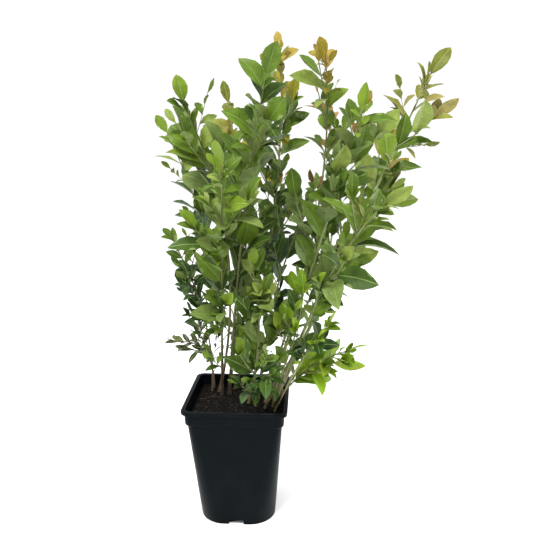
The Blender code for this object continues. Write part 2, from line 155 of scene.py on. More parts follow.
# Fine shoots, which the solids leave out: short young growth from the leaf axils and the twig ends
SHOOT_CHANCE = 0.42
SHOOT_SIZES = (0.32, 0.62)
SHOOT_CLEARANCE = 0.006
SHOOT_RADIUS = 0.00055
SHOOT_TAPER = 0.5
SHOOT_LEAVES = 4
SHOOT_FOOT = 0.30
SHOOT_LEAF = (0.24, 0.42)
TUFT_LEAVES = 3
TUFT_START = 0.90
TUFT_STEP = 0.03
TUFT_LEAN = math.radians(38)
TUFT_LEAF = (0.34, 0.52)
YOUNG_SHOOTS = 0.16
TUFTLESS = ("left_sprig", "top_right")
WIRY = ("left_sprig",)

# Short leafy shoots on the upper stretch of the bare limbs, with lengths in metres
LIMB_SHOOT_START = 0.48
LIMB_SHOOT_SIZES = (0.022, 0.036)
LIMB_SHOOT_RADIUS = SHOOT_RADIUS * 1.3
LIMB_SHOOT_LEAVES = 5
LIMB_SHOOT_LEAF = (0.017, 0.028)
LIMB_LEAF_CAP = 0.58

# Fine leaf blades
BLADE_STATIONS = (0.0, 0.05, 0.12, 0.28, 0.48, 0.69, 0.88, 1.0)
SMALL_STATIONS = (0.0, 0.08, 0.30, 0.58, 0.85, 1.0)
BLADE_START = 0.05
BLADE_FILLS = (0.78, 1.08)
BLADE_SKEW = 0.92
BLADE_FULLNESS = 0.80
BLADE_THICKNESS = 0.00030
STALK_HALF = 0.00060
RIB_SHARE = 0.010
RIB_LIMIT = 0.4
RIB_SPAN = 0.01
KEEL_DEPTH = 0.0004
SHOULDER = 0.55
SHOULDER_LIFT = 0.72
SHOULDER_WAVE = 0.4
WAVES = (0.008, 0.030)
WAVE_BEATS = (1.0, 2.0)
CURLS = (-0.06, 0.20)
CURL_POWER = 2.5
FOLDS = (0.5, 2.3)
TWIST = 0.50
TWIST_START = 0.2
YOUNG_SHARE = 0.72
MARGIN_ANGLE = math.radians(55)

# Stem surfaces
LIMB_SIDES = 14
BARK_SHARE = 0.86
STEM_SIDES = 8
TWIG_SIDES = 6
SHOOT_SIDES = 5
BARK_STEP = 0.0014
TWIG_STEP = 0.0030
SHOOT_STEP = 0.0040
STEM_SUNK = 0.002
SUNK_SHARE = 0.98

# Bark relief: how far each kind swells, then its count round the limb and its beat along it
RIDGES = (0.035, 5, 9, 60)
SLANTS = (0.025, 3, 210)
GRAIN = (0.02, 900)
SCARS = 0.42

# Leaf joints and buds
NODE_SPACING = 0.016
NODE_SWELL = 0.16
NODE_HALF = 0.0016
BUD_LENGTH = 0.0030
BUD_RADIUS = 0.0009
BUD_STATIONS = (0, 0.35, 0.75, 1)
BUD_WIDTHS = (0.6, 1, 0.6, 0.08)
BUD_AHEAD, BUD_ASIDE, BUD_OUT = 0.85, 0.5, 0.6
BUD_TURN = 9

# Camera
CAMERA_PLACE = (0.0842, -0.7266, 0.4768)
CAMERA_PITCH = math.radians(12.53)
CAMERA_YAW = math.radians(2.79)
CAMERA_ROLL = math.radians(0.11)
SENSOR = 36.0
LENS = 39.06

# Lights: name, place, width, height and power
LIGHTS = (
    ("key", (-0.8, -1.4, 2.4), 1.1, 1.1, 95),
    ("fill", (1.6, -1.0, 1.2), 1.0, 1.0, 9),
    ("edge", (1.0, 0.25, 0.45), 0.16, 1.1, 10),
)
LIT_SPOT = Vector((0.05, 0, 0.30))
SURROUND_POWER = 1.06
FLOOR_SIZE = 12


@dataclass
class Cane:
    """One cane: a bare limb from the compost, and the spray that it carries.

    It bends from foot to top round elbow, and is bare up to the share bare of its length. Mature and
    young name its leaves' tones, and its blades are slender times the usual width. grow_bush adds its
    limb, the lines of its stem and twigs, its leaves, its shoots and its small_leaves.
    """
    name: str
    foot: tuple
    elbow: tuple
    top: tuple
    girth: float
    bare: float
    leaf: float
    twigs: int
    twig_length: float
    seed: int
    mature: str
    young: str
    bark: str
    limb_shoots: int
    slender: float = 1.0


CANES = [
    Cane("left_cane", (-0.030, 0.034), (0.015, 0.043, 0.350), (-0.062, 0.000, 0.524),
         0.0022, 0.30, 0.064, 5, 0.065, 573, "mid", "fresh", "brown", 3),
    Cane("tall_front", (-0.016, 0.026), (0.007, -0.019, 0.405), (0.041, -0.070, 0.547),
         0.0024, 0.27, 0.064, 4, 0.060, 375, "mid", "mid", "brown", 4),
    Cane("tall_middle", (-0.010, 0.042), (0.060, 0.044, 0.362), (0.051, 0.050, 0.588),
         0.0022, 0.42, 0.046, 3, 0.055, 844, "mid", "golden", "brown", 5),
    Cane("left_low", (-0.040, 0.036), (-0.038, 0.057, 0.244), (-0.075, -0.030, 0.369),
         0.0016, 0.40, 0.034, 4, 0.055, 34, "deep", "mid", "brown", 3, 0.84),
    Cane("left_sprig", (-0.039, 0.046), (-0.043, 0.073, 0.210), (-0.089, 0.030, 0.218),
         0.0014, 0.36, 0.024, 4, 0.042, 388, "dusky", "dusky", "brown", 4, 0.66),
    Cane("left_back", (-0.029, 0.047), (-0.021, 0.086, 0.315), (-0.105, 0.100, 0.491),
         0.0016, 0.38, 0.048, 3, 0.060, 22, "deep", "fresh", "brown", 3),
    Cane("back_cane", (-0.018, 0.051), (0.006, 0.112, 0.351), (-0.024, 0.130, 0.531),
         0.0020, 0.40, 0.050, 3, 0.065, 439, "mid", "olive", "brown", 4),
    Cane("left_front", (-0.025, 0.022), (-0.015, -0.033, 0.337), (0.000, -0.120, 0.455),
         0.0020, 0.32, 0.050, 4, 0.065, 452, "mid", "fresh", "brown", 3),
    Cane("top_right", (0.031, 0.026), (0.125, 0.030, 0.400), (0.104, -0.010, 0.573),
         0.0020, 0.68, 0.042, 3, 0.055, 507, "fresh", "amber", "brown", 3),
    Cane("centre_front", (0.014, -0.002), (0.042, -0.052, 0.272), (0.023, -0.075, 0.348),
         0.0020, 0.22, 0.052, 4, 0.052, 950, "mid", "fresh", "straw", 0),
    Cane("centre_low", (0.036, -0.016), (0.080, -0.050, 0.252), (0.083, -0.065, 0.317),
         0.0016, 0.30, 0.042, 4, 0.045, 210, "mid", "lime", "straw", 2),
    Cane("centre_shoot", (0.024, 0.014), (0.041, 0.013, 0.323), (0.094, 0.020, 0.411),
         0.0018, 0.46, 0.042, 2, 0.050, 154, "deep", "mid", "brown", 4),
    Cane("right_cane", (0.047, 0.012), (0.159, 0.024, 0.397), (0.228, 0.020, 0.556),
         0.0032, 0.38, 0.060, 4, 0.070, 730, "fresh", "olive", "straw", 3),
    Cane("right_inner", (0.036, 0.002), (0.109, -0.016, 0.383), (0.144, -0.050, 0.509),
         0.0026, 0.36, 0.060, 4, 0.070, 50, "mid", "fresh", "straw", 3),
    Cane("right_back", (0.040, 0.030), (0.160, 0.085, 0.332), (0.108, 0.120, 0.530),
         0.0022, 0.40, 0.050, 3, 0.065, 705, "mid", "bronze", "straw", 4),
    Cane("right_low", (0.046, 0.001), (0.090, -0.030, 0.219), (0.138, -0.050, 0.238),
         0.0016, 0.34, 0.042, 3, 0.040, 421, "lime", "lime", "straw", 2),
    Cane("right_side", (0.049, -0.026), (0.072, -0.052, 0.219), (0.113, -0.085, 0.283),
         0.0014, 0.50, 0.032, 2, 0.035, 996, "deep", "lime", "straw", 0),
    Cane("front_low", (0.024, -0.012), (0.030, -0.045, 0.193), (0.042, -0.090, 0.244),
         0.0016, 0.30, 0.030, 3, 0.040, 258, "deep", "mid", "straw", 0, 0.88),
    Cane("far_back", (0.030, 0.040), (0.120, 0.111, 0.316), (0.205, 0.140, 0.503),
         0.0022, 0.40, 0.050, 3, 0.065, 37, "mid", "golden", "straw", 4),
    Cane("right_front", (0.046, -0.012), (0.110, -0.060, 0.358), (0.165, -0.110, 0.416),
         0.0022, 0.38, 0.050, 4, 0.065, 489, "mid", "fresh", "straw", 2),
]


@dataclass
class Tone:
    """The colours of one age of leaf: the upper side in sunlit and deeper colour, and the underside. The
    upper colours are partly leaf tone and partly painted light: the deeper one is painted shade, given more
    often to low leaves.
    """
    upper: tuple
    deeper: tuple
    under: tuple


TONES = {
    "mid": Tone((0.083, 0.142, 0.012), (0.037, 0.074, 0.007), (0.140, 0.195, 0.062)),
    # The deep tone, given to low and back canes, is partly a darker leaf green and partly painted shade of
    # the lower crown.
    "deep": Tone((0.038, 0.079, 0.012), (0.015, 0.038, 0.006), (0.095, 0.145, 0.055)),
    "dusky": Tone((0.082, 0.106, 0.024), (0.036, 0.052, 0.014), (0.150, 0.180, 0.085)),
    "fresh": Tone((0.118, 0.186, 0.012), (0.066, 0.116, 0.009), (0.170, 0.228, 0.065)),
    "lime": Tone((0.165, 0.275, 0.008), (0.115, 0.200, 0.008), (0.210, 0.300, 0.050)),
    "olive": Tone((0.180, 0.182, 0.020), (0.112, 0.126, 0.015), (0.190, 0.195, 0.065)),
    "golden": Tone((0.212, 0.190, 0.012), (0.158, 0.150, 0.010), (0.220, 0.205, 0.050)),
    "amber": Tone((0.215, 0.165, 0.014), (0.165, 0.132, 0.012), (0.220, 0.180, 0.050)),
    "bronze": Tone((0.225, 0.130, 0.024), (0.160, 0.094, 0.018), (0.220, 0.155, 0.060)),
}
RIB_COLOUR = (0.20, 0.26, 0.07)
# The brighter shade, from the upper colour: partly a paler leaf tone, partly a painted sheen, greyed by its
# raised blue; high leaves take it more often, as painted light.
BRIGHT_TONE_AND_SHEEN = (1.36, 1.14, 3.0)
VEIN_LIFT = 1.12

# How often low and high leaves take the deeper, the plain and the brighter shade: low leaves darker as
# painted shade, high leaves lighter as painted light
LOW_SHADED_WEIGHTS = (0.58, 0.26, 0.16)
HIGH_LIT_WEIGHTS = (0.30, 0.41, 0.29)
LOW_LEAVES, HIGH_LEAVES = 0.24, 0.38


# How the bush grows


def array(points):
    """Points as the rows of an array."""
    return np.array([tuple(p) for p in points])


def stem_points(cane):
    """The cane's middle line: straight up out of the compost, then one smooth bend to its top."""
    foot = Vector((*cane.foot, SOIL_LEVEL + GAP))
    elbow, top = Vector(cane.elbow), Vector(cane.top)
    length = (elbow - foot).length * 0.5 + (top - foot).length * 0.5
    count = max(FEWEST_STEPS, round(length / STEM_STEP))
    points = [foot, foot + Vector((0, 0, FOOT_RISE))]
    for step in range(1, count + 1):
        share = step / count
        points.append(foot * (1 - share) ** 2 + elbow * 2 * share * (1 - share) + top * share ** 2)
    return points


def stem_radius(cane, height, share):
    """Taper from foot to top, with a flare where the cane leaves the compost."""
    flare = 1 + FLARE * math.exp(-height / FLARE_HEIGHT)
    return (TIP_RADIUS + (cane.girth - TIP_RADIUS) * (1 - share) ** TAPER_POWER) * flare


def part_stem(cane):
    """Parts the stem into the bare limb and the spray's own stem, GAP apart."""
    points = stem_points(cane)
    last = len(points) - 1
    radii = [stem_radius(cane, p.z - SOIL_LEVEL, i / last) for i, p in enumerate(points)]
    split = max(2, round(last * cane.bare))
    step = points[split + 1] - points[split]
    middle = points[split] + step / 2
    radius = (radii[split] + radii[split + 1]) / 2
    half_gap = step.normalized() * (GAP / 2)
    cane.limb = points[:split + 1] + [middle - half_gap], radii[:split + 1] + [radius]
    cane.lines = [([middle + half_gap] + points[split + 1:], [radius] + radii[split + 1:])]


def find_room(cane, limb_counts=True):
    """Straight pieces of the spray's own lines, of the other sprays' and of the limbs."""
    others = [line for other in CANES if other is not cane for line in other.lines]
    limbs = [other.limb for other in CANES if limb_counts or other is not cane]
    return segments(cane.lines), segments(others), segments(limbs)


def grow_twigs(cane):
    """Side twigs round the spray's stem, a golden angle apart, kept clear of the other sprays."""
    rng = random.Random(cane.seed)
    stem, radii = cane.lines[0]
    turn = rng.uniform(0, math.tau)
    _, others, limbs = find_room(cane)
    for number in range(cane.twigs):
        place = number + FIRST_TWIG + rng.uniform(-TWIG_JITTER, TWIG_JITTER)
        share = place / cane.twigs * TWIGGED_SHARE
        length = cane.twig_length * rng.uniform(*TWIG_SIZES) * (1 - TWIG_SHRINK * share)
        azimuths = (turn + number * GOLDEN_ANGLE + attempt * TWIG_TURN for attempt in range(TRIES))
        points, _ = clear_twig(stem, share, azimuths, length, others, limbs, TWIG_CLEARANCE)
        if points:
            start = share_radius(radii, share) * TWIG_THIN
            sizes = [max(TIP_RADIUS, start + (TIP_RADIUS - start) * i / TWIG_STEPS)
                     for i in range(TWIG_STEPS + 1)]
            cane.lines.append((points, sizes))


def grow_leaves(cane):
    """Leaves in turn up every twig of the spray. One that leaves its space is turned or left out."""
    rng = random.Random(cane.seed + LEAF_SEED)
    room = find_room(cane)
    placed, leaves = [], []
    for twig, (points, _) in enumerate(cane.lines):
        turn = rng.uniform(0, math.tau)
        for number, share, size in leaf_places(points, cane.leaf):
            length = size * rng.uniform(*LEAF_SIZES)
            lean = LEAF_ANGLE * rng.uniform(*LEAN_SIZES)
            if share > END_SHARE:
                lean = END_LEAN
            roll = rng.gauss(0, ROLL_SPREAD)
            for attempt in range(TRIES):
                azimuth = turn + number * GOLDEN_ANGLE + attempt * LEAF_TURN
                leaf = Leaf(points, share, azimuth, lean, length, roll)
                spots = leaf.spots()
                if not fits(spots, *room):
                    continue
                if placed and crowded(spots, placed) and attempt < TRIES - 1:
                    continue
                placed.append(spots[ROOT_SPOTS:])
                leaf.young = share > END_SHARE or (twig == 0 and share > YOUNG_SHARE)
                leaves.append(leaf)
                break
    cane.leaves = leaves


def grow_shoots(cane):
    """Short young shoots from the leaf axils and small leaves round the twig ends, in the same space."""
    rng = random.Random(cane.seed + SHOOT_SEED)
    room = find_room(cane)
    shoots, small = [], []
    for points, _ in cane.lines:
        for _, share, _ in leaf_places(points, cane.leaf):
            chance = rng.random()
            azimuth = rng.uniform(0, math.tau)
            length = cane.leaf * rng.uniform(*SHOOT_SIZES)
            if chance > SHOOT_CHANCE or share > TUFT_START or cane.name in WIRY:
                continue
            line, _ = clear_twig(points, share, [azimuth], length, *room[1:], SHOOT_CLEARANCE)
            if line:
                shoots.append((line, shoot_radii(SHOOT_RADIUS)))
                small += [(line, *place, SHOOT_LEAF) for place in shoot_places(azimuth, SHOOT_LEAVES)]
        turn = rng.uniform(0, math.tau)
        for place in range(0 if cane.name in TUFTLESS else TUFT_LEAVES):
            share = TUFT_START + place * TUFT_STEP
            small.append((points, share, turn + place * GOLDEN_ANGLE, TUFT_LEAN, TUFT_LEAF))
    kept = []
    for line, share, azimuth, lean, sizes in small:
        length = cane.leaf * rng.uniform(*sizes)
        leaf = Leaf(line, share, azimuth, lean, length, rng.gauss(0, ROLL_SPREAD))
        leaf.young = line[-1].z > cane.top[2] - cane.leaf or rng.random() < YOUNG_SHOOTS
        if fits(leaf.spots(), *room):
            kept.append(leaf)
    cane.shoots = shoots
    cane.small_leaves = kept


def grow_limb_shoots(cane):
    """Short leafy shoots on the upper stretch of the bare limb, kept clear of the other canes."""
    rng = random.Random(cane.seed + LIMB_SHOOT_SEED)
    count, limb = cane.limb_shoots, cane.limb
    _, others, limbs = find_room(cane, limb_counts=False)
    for number in range(count):
        share = LIMB_SHOOT_START + (1 - LIMB_SHOOT_START) * (number + rng.random()) / count
        length = rng.uniform(*LIMB_SHOOT_SIZES)
        azimuths = (rng.uniform(0, math.tau) for _ in range(TRIES))
        line, azimuth = clear_twig(limb[0], share, azimuths, length, others, limbs, SHOOT_CLEARANCE)
        if line is None:
            continue
        shoot = line, shoot_radii(LIMB_SHOOT_RADIUS)
        cane.shoots.append(shoot)
        own = segments([*cane.lines, limb, shoot])
        for part, turn, lean in shoot_places(azimuth, LIMB_SHOOT_LEAVES):
            size = min(rng.uniform(*LIMB_SHOOT_LEAF), cane.leaf * LIMB_LEAF_CAP)
            leaf = Leaf(line, part, turn, lean, size, rng.gauss(0, ROLL_SPREAD))
            if fits(leaf.spots(), own, others, limbs):
                cane.small_leaves.append(leaf)


def grow_bush():
    """Grows the whole bush as middle lines and leaves, which each cane then holds."""
    for grow in part_stem, grow_twigs, grow_leaves, grow_shoots, grow_limb_shoots:
        for cane in CANES:
            grow(cane)


def segments(lines):
    """Start points, end points and radii of every straight piece of some middle lines."""
    starts = array(p for points, _ in lines for p in points[:-1])
    ends = array(p for points, _ in lines for p in points[1:])
    return starts, ends, np.array([size for _, sizes in lines for size in sizes[:-1]])


def place_on(line, share):
    """Which piece of a line holds a share of the way along it, and how far up that piece."""
    place = share * (len(line) - 1)
    low = min(int(place), len(line) - 2)
    return low, place - low


def share_radius(radii, share):
    """Radius a share of the way along a tapering line."""
    low, part = place_on(radii, share)
    return radii[low] + (radii[low + 1] - radii[low]) * part


def along(points, share):
    """Point and direction a share of the way along a middle line."""
    low, part = place_on(points, share)
    step = points[low + 1] - points[low]
    return points[low] + step * part, step.normalized()


def outward(forward, azimuth):
    """A direction square to forward, turned by azimuth about it."""
    side = forward.cross(Vector(ASKEW)).normalized()
    back = forward.cross(side)
    return side * math.cos(azimuth) + back * math.sin(azimuth)


def leaning(forward, away, lean):
    """A direction that leans away from forward."""
    return forward * math.cos(lean) + away * math.sin(lean)


def clear_twig(stem, share, azimuths, length, others, limbs, clearance):
    """Middle line and azimuth of the first side twig that keeps clear of all else, or None and None.

    It leaves the stem at TWIG_ANGLE and lifts towards the light.
    """
    root, forward = along(stem, share)
    parts = [step / TWIG_STEPS for step in range(TWIG_STEPS + 1)]
    for azimuth in azimuths:
        heading = leaning(forward, outward(forward, azimuth), TWIG_ANGLE)
        line = [root + heading * length * part + Vector((0, 0, TWIG_LIFT * length * part ** 2))
                for part in parts]
        reach = array(line[1:])
        clear = distances(reach, others).min() > clearance and distances(reach, limbs).min() > LIMB_MARGIN
        if clear and clears_pot(reach):
            return line, azimuth
    return None, None


def shoot_radii(foot):
    """Radii up a short shoot, from its foot to its thinner tip."""
    return [foot * (1 - SHOOT_TAPER * i / TWIG_STEPS) for i in range(TWIG_STEPS + 1)]


def shoot_places(azimuth, count):
    """Share, azimuth and lean of each leaf up a short shoot."""
    for place in range(count):
        share = SHOOT_FOOT + (1 - SHOOT_FOOT) * place / (count - 1)
        yield share, azimuth + place * GOLDEN_ANGLE, END_LEAN if share > END_SHARE else LEAF_ANGLE


def leaf_places(points, leaf):
    """Number, place and length of the leaves up one twig: small at its foot, largest past its middle."""
    length = sum((b - a).length for a, b in zip(points, points[1:]))
    count = max(FEWEST_LEAVES, round(length / (leaf * LEAF_SPACING)))
    for number in range(count):
        share = FIRST_LEAF + (1 - FIRST_LEAF) * number / (count - 1)
        swell = math.sin(math.pi * min(1.0, FIRST_LEAF + share))
        yield number, share, leaf * (FOOT_LEAF + (1 - FOOT_LEAF) * swell)


class Leaf:
    """Where a leaf's blade lies: its root, middle and tip, lifted and turned towards the light."""

    def __init__(self, points, share, azimuth, lean, length, roll):
        root, forward = along(points, share)
        away = outward(forward, azimuth)
        heading = (leaning(forward, away, lean) + Vector((0, 0, LEAF_LIFT))).normalized()
        side = heading.cross(away if lean == END_LEAN else forward).normalized()
        face = side.cross(heading)
        roll -= LIGHT_TURN * math.atan2(LIGHT.dot(side), LIGHT.dot(face))
        self.side = side * math.cos(roll) + face * math.sin(roll)
        self.face = face * math.cos(roll) - side * math.sin(roll)
        self.length = length
        self.young = False
        droop = Vector((0, 0, -LEAF_DROOP * length))
        self.root = root - forward * LEAF_SUNK
        self.middle = root + heading * length * LEAF_MIDDLE + droop * LEAF_MIDDLE ** 2
        self.tip = root + heading * length + droop

    def sides(self):
        """The two widest points, lifted by the fold along the midrib."""
        half = self.side * (self.length * LEAF_WIDTH / 2)
        lift = self.face * (self.length * LEAF_FOLD / 2)
        return self.middle + half + lift, self.middle - half + lift

    def spots(self):
        """Points spread over the blade, from its root to its tip, to test its room."""
        lines = [(self.root, widest, self.tip) for widest in (self.middle, *self.sides())]
        rows = []
        for share in SPOT_SHARES:
            low = int(share > 0.5)
            part = (share - 0.5 * low) / 0.5
            middle, left, right = (line[low].lerp(line[low + 1], part) for line in lines)
            rows += [middle, left, right, middle.lerp(left, 0.5), middle.lerp(right, 0.5)]
        return array(rows)


def distances(spots, lines):
    """Distance from every spot to the surface of every straight piece."""
    starts, ends, radii = lines
    along_line = ends - starts
    to_spot = spots[:, None, :] - starts[None]
    share = (to_spot * along_line).sum(2) / (along_line ** 2).sum(1)
    share = np.clip(share, 0, 1)
    nearest = to_spot - share[:, :, None] * along_line
    return np.sqrt((nearest ** 2).sum(2)) - radii


def clears_pot(spots):
    """Whether every spot stands over, well inside or well outside the pot."""
    out = np.abs(spots[:, :2]).max(1)
    above = spots[:, 2] > POT_HEIGHT + POT_MARGIN
    inside = (out < BODY_WIDTH / 2 - POT_MARGIN) & (spots[:, 2] > SOIL_LEVEL + POT_MARGIN)
    outside = (out > LIP_WIDTH / 2 + POT_MARGIN) & (spots[:, 2] > POT_HEIGHT / 2)
    return bool((above | inside | outside).all())


def fits(spots, own, others, limbs):
    """Whether a blade stays in the space nearer to its own twigs, and clear of limbs and pot."""
    if not clears_pot(spots) or distances(spots, limbs).min() < LIMB_MARGIN:
        return False
    room = distances(spots, others).min(1) - distances(spots, own).min(1)
    return bool(room.min() > SPACE_MARGIN)


def crowded(spots, placed):
    """Whether a blade comes closer than CROWD to another blade of its spray."""
    gaps = spots[ROOT_SPOTS:, None, :] - np.concatenate(placed)[None]
    return bool(np.sqrt((gaps ** 2).sum(2)).min() < CROWD)


# Finishes


class Signal:
    """One output of a finish's nodes. Arithmetic on it adds Math nodes."""

    def __init__(self, finish, socket):
        self.finish = finish
        self.socket = socket

    def math(self, operation, *values):
        return self.finish.add("ShaderNodeMath", dict(enumerate(values)), operation=operation)

    def __add__(self, other):
        return self.math("ADD", self, other)

    __radd__ = __add__

    def __sub__(self, other):
        return self.math("SUBTRACT", self, other)

    def __rsub__(self, other):
        return self.math("SUBTRACT", other, self)

    def __mul__(self, other):
        return self.math("MULTIPLY", self, other)

    def __abs__(self):
        return self.math("ABSOLUTE", self)

    def sine(self):
        return self.math("SINE", self)

    def band(self, low, high):
        """0 below low, 1 above high and a smooth rise between them."""
        return self.finish.add("ShaderNodeMapRange", {"Value": self, "From Min": low, "From Max": high},
                               interpolation_type="SMOOTHSTEP")


class Finish:
    """A material: its nodes, and the Principled shader that they feed."""

    def __init__(self, name, specular):
        self.material = bpy.data.materials.new(name)
        self.material.use_nodes = True
        self.tree = self.material.node_tree
        self.shader = self.tree.nodes["Principled BSDF"]
        self.give(self.shader, "Specular IOR Level", specular)

    def give(self, node, socket, value):
        """Links a signal to a node's socket, or sets the socket to a plain value."""
        if isinstance(value, Signal):
            self.tree.links.new(value.socket, node.inputs[socket])
        else:
            node.inputs[socket].default_value = value

    def add(self, kind, values=None, output=0, **settings):
        """Adds a node, sets its settings, then gives its sockets their values or links."""
        node = self.tree.nodes.new(kind)
        for setting, value in settings.items():
            setattr(node, setting, value)
        for socket, value in (values or {}).items():
            self.give(node, socket, value)
        return Signal(self, node.outputs[output])

    def place(self):
        """The point on the piece, in metres."""
        return self.add("ShaderNodeTexCoord", output="Object")

    def noise(self, scale, detail, where=None):
        values = {"Vector": where or self.place(), "Scale": scale, "Detail": detail}
        return self.add("ShaderNodeTexNoise", values)

    def stretched(self, scale):
        """The point on the piece, scaled by a different number along each axis."""
        return self.add("ShaderNodeMapping", {"Vector": self.place(), "Scale": scale})

    def part(self, vector, axis):
        """One of a vector's three numbers."""
        return self.add("ShaderNodeSeparateXYZ", {"Vector": vector}, axis)

    def mix(self, factor, low, high):
        """A colour between two, which are colours or signals."""
        low, high = (c if isinstance(c, Signal) else (*c, 1) for c in (low, high))
        return self.add("ShaderNodeMix", {"Factor": factor, 6: low, 7: high}, 2, data_type="RGBA")

    def made(self, colour, roughness, relief=None, depth=0.0, strength=1.0):
        """Feeds the shader its colour, roughness and bump, and gives back the material."""
        self.give(self.shader, "Base Color", colour)
        self.give(self.shader, "Roughness", roughness)
        if relief:
            bump = self.add("ShaderNodeBump", {"Height": relief, "Distance": depth, "Strength": strength})
            self.give(self.shader, "Normal", bump)
        return self.material


def scaled(colour, factor):
    return tuple(part * factor for part in colour)


def blend(first, second, share):
    """A colour a share of the way from the first to the second."""
    return tuple(a + (b - a) * share for a, b in zip(first, second))


def plastic_finish():
    """Satin black moulded plastic with a fine grain, faint flow marks and a dusting near its foot."""
    finish = Finish("satin_black_plastic", 0.045)
    height = finish.part(finish.place(), "Z")
    cloud = finish.noise(28, 4)
    flow = finish.noise(1, 3, finish.stretched((160, 160, 9)))
    dust = finish.noise(420, 3) * (1 - height.band(0.0, 0.07)) * 0.5
    smear = ((cloud - 0.35) * flow).band(0.0, 0.35)
    body = finish.mix(smear, (0.0012, 0.0026, 0.0036), (0.0030, 0.0052, 0.0066))
    colour = finish.mix(dust.band(0.30, 0.48), body, (0.010, 0.012, 0.012))
    relief = finish.noise(2400, 2) * 0.6 + flow * 0.4
    return finish.made(colour, 0.24 + cloud * 0.20 + dust * 0.2, relief, 0.00012, 0.5)


def compost_finish():
    """Dark moist compost: near black, with brown peat and a few paler grains."""
    finish = Finish("moist_compost", 0.1)
    coarse = finish.noise(260, 5)
    fine = finish.noise(1500, 3)
    earth = finish.mix(coarse.band(0.35, 0.70), (0.0011, 0.0010, 0.0010), (0.0044, 0.0034, 0.0028))
    colour = finish.mix(fine.band(0.68, 0.78), earth, (0.022, 0.017, 0.012))
    return finish.made(colour, 0.80 + fine * 0.18, coarse * 0.6 + fine * 0.4, 0.0012)


def crumb_finish(name, dark, pale):
    """Peat crumbs and bark chips: fibrous, from dark to pale brown."""
    finish = Finish(name, 0.2)
    tint = finish.noise(190, 2)
    fibre = finish.noise(1, 3, finish.stretched((900, 300, 900)))
    colour = finish.mix((tint * 0.6 + fibre * 0.4).band(0.38, 0.66), dark, pale)
    return finish.made(colour, 0.72 + fibre * 0.25, fibre, 0.0006)


def bark_finish(name, foot, high, turn_low, turn_high):
    """Young bark: brown at the compost, then green, with long ridges and paler lenticels."""
    finish = Finish(name, 0.35)
    height = finish.part(finish.place(), "Z")
    streak = finish.noise(1, 4, finish.stretched((1500, 1500, 130)))
    blotch = finish.noise(75, 3)
    ripening = (height + (blotch - 0.5) * 0.10).band(turn_low, turn_high)
    skin = finish.mix(ripening, foot, high)
    worn = finish.mix(streak.band(0.52, 0.78), skin, (0.22, 0.18, 0.10))
    colour = finish.mix(blotch.band(0.62, 0.80), worn, (0.085, 0.050, 0.028))
    relief = streak * 0.7 + finish.noise(2200, 2) * 0.3
    return finish.made(colour, 0.50 + streak * 0.30, relief, 0.00035)


def leaf_finish(name, colour, vein, roughness, depth, vein_strength):
    """A leaf's side: faintly mottled, with a pale midrib and side veins that run out from it."""
    finish = Finish(name, 0.16)
    spot = finish.add("ShaderNodeUVMap", uv_map="blade")
    across = abs(finish.part(spot, "X") * 2 - 1)
    up = finish.part(spot, "Y")
    wander = finish.noise(160, 2) * 1.6
    sides = (up * 44 - across * 9 + wander).sine().band(0.78, 1.0) * (1 - across * 0.7)
    veins = sides * vein_strength + (1 - across.band(0.02, 0.09)) * vein_strength * 1.4
    mottle = finish.noise(95, 4)
    plain = finish.mix(mottle.band(0.30, 0.72), scaled(colour, 0.82), scaled(colour, 1.20))
    relief = sides * -0.7 + finish.noise(600, 2) * 0.14
    return finish.made(finish.mix(veins, plain, vein), roughness + mottle * 0.16, relief, depth)


def rib_finish(name, colour):
    """The midribs and stalks of one tone's leaves."""
    finish = Finish(name, 0.35)
    tint = finish.noise(60, 2)
    shade = finish.mix(tint.band(0.35, 0.65), scaled(colour, 0.88), scaled(colour, 1.1))
    return finish.made(shade, 0.48 + tint * 0.1)


def vein_colour(colour, share):
    """A vein's colour: a share of the way to the ribs' own, and never darker than its leaf."""
    return tuple(max(a, b * VEIN_LIFT) for a, b in zip(blend(colour, RIB_COLOUR, share), colour))


def tone_finishes():
    """The finishes of every tone: three shades of upper side (deeper with painted shade, plain, brighter
    with painted sheen), the underside, and the midrib.
    """
    made = {}
    for name, tone in TONES.items():
        bright = tuple(part * factor for part, factor in zip(tone.upper, BRIGHT_TONE_AND_SHEEN))
        vein = vein_colour(tone.upper, 0.5)
        made[name] = [
            # The deeper shade is darker leaf tone and painted shade.
            leaf_finish(name + "_leaf_deeper", tone.deeper, vein, 0.34, 0.00030, 0.10),
            leaf_finish(name + "_leaf", tone.upper, vein, 0.36, 0.00030, 0.14),
            # The brighter shade is paler leaf tone and painted sheen.
            leaf_finish(name + "_leaf_brighter", bright, vein_colour(bright, 0.8), 0.38, 0.00030, 0.16),
            leaf_finish(name + "_leaf_under", tone.under, scaled(tone.under, 1.35), 0.55, 0.00045, 0.30),
            rib_finish(name + "_rib", vein),
        ]
    return made


# Small repeated shapes, gathered into one mesh each


def loft_faces(rings, sides):
    """Faces of a closed shape through some rings: its first cap, its sides and its last cap."""
    faces = [list(range(sides))[::-1]]
    for low in range(0, (rings - 1) * sides, sides):
        for i in range(sides):
            j = (i + 1) % sides
            faces.append([low + i, low + j, low + sides + j, low + sides + i])
    faces.append([(rings - 1) * sides + i for i in range(sides)])
    return faces


